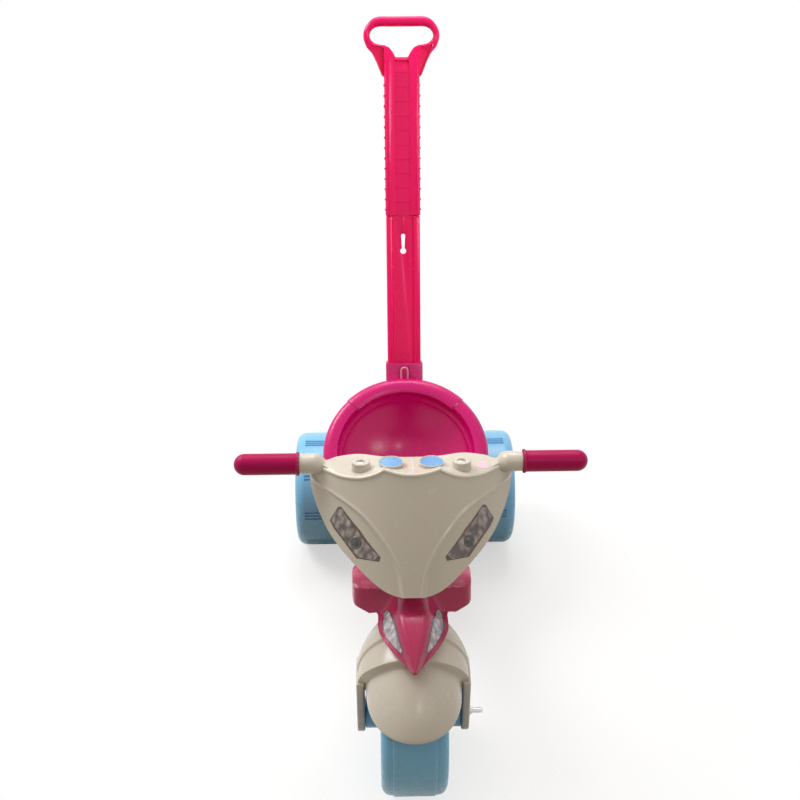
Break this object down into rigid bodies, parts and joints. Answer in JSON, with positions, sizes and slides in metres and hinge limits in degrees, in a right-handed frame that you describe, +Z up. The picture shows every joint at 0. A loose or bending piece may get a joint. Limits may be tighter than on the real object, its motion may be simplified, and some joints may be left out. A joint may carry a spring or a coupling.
{
  "type": "toddler push along trike",
  "caption": "Small plastic tricycle with a scooter-style nose and fairing, free-rolling wheels, a bucket seat and a plug-in parent push pole with a hand loop.",
  "frame": {"origin": "on the floor under the middle of the trike's overall box", "axes": "the front faces -Y, +X is to the right seen from the front, +Z is up"},
  "size_m": [0.442, 0.8457, 0.8033],
  "materials": {
    "body_pink": "satin moulded plastic, rose pink",
    "seat_pink": "glossy moulded plastic, magenta",
    "pole_pink": "glossy moulded plastic, magenta",
    "grip_pink": "soft-touch moulded plastic, magenta",
    "cream": "glossy moulded plastic, cream white",
    "tyre_blue": "satin moulded plastic, light blue",
    "steel": "zinc plated",
    "nylon": "natural nylon",
    "lamp_print": "printed film, lamp picture",
    "dial_print": "printed film, dial picture"
  },
  "bodies": {
    "frame": {"chassis": "body_pink", "seat": "seat_pink", "seat_screws": "steel", "rear_axle": "steel", "axle_caps": "steel", "nose_decals": "lamp_print"},
    "steering": {"steering_washer": "nylon", "fork": "cream", "steering_column": "steel", "handlebar": "cream", "column_bolt": "steel", "fairing": "cream", "dash": "cream", "dash_screws": "steel", "grip_left": "grip_pink", "grip_right": "grip_pink", "headlight_decals": "lamp_print", "dial_decals": "dial_print", "front_axle": "steel", "axle_clip": "steel"},
    "steered_wheel": {"front_wheel": "tyre_blue"},
    "left_rear_wheel": {"rear_wheel_left": "tyre_blue"},
    "right_rear_wheel": {"rear_wheel_right": "tyre_blue"},
    "push_pole": {"lower_pole": "pole_pink", "upper_pole": "pole_pink"},
    "latch": {"latch_tongue": "seat_pink"}
  },
  "joints": [
    {"name": "steer", "type": "hinge", "parent": "frame", "child": "steering", "pos_m": [0, -0.30676, 0.105], "axis": [0, 0.3907, 0.9205], "range_deg": [-35, 35]},
    {"name": "front_wheel_spin", "type": "hinge", "parent": "steering", "child": "steered_wheel", "pos_m": [0, -0.30676, 0.105], "axis": [1, 0, 0], "continuous": true},
    {"name": "rear_left_spin", "type": "hinge", "parent": "frame", "child": "left_rear_wheel", "pos_m": [-0.1345, 0.17824, 0.093], "axis": [1, 0, 0], "continuous": true},
    {"name": "rear_right_spin", "type": "hinge", "parent": "frame", "child": "right_rear_wheel", "pos_m": [0.1345, 0.17824, 0.093], "axis": [1, 0, 0], "continuous": true},
    {"name": "pole_pull", "type": "slide", "parent": "frame", "child": "push_pole", "axis": [0, 0.3987, 0.9171], "range_m": [0, 0.1]},
    {"name": "latch_flex", "type": "hinge", "parent": "frame", "child": "latch", "pos_m": [0, 0.18248, 0.29963], "axis": [1, 0, 0], "range_deg": [0, 8], "stiffness_Nm_per_rad": 0.02}
  ]
}
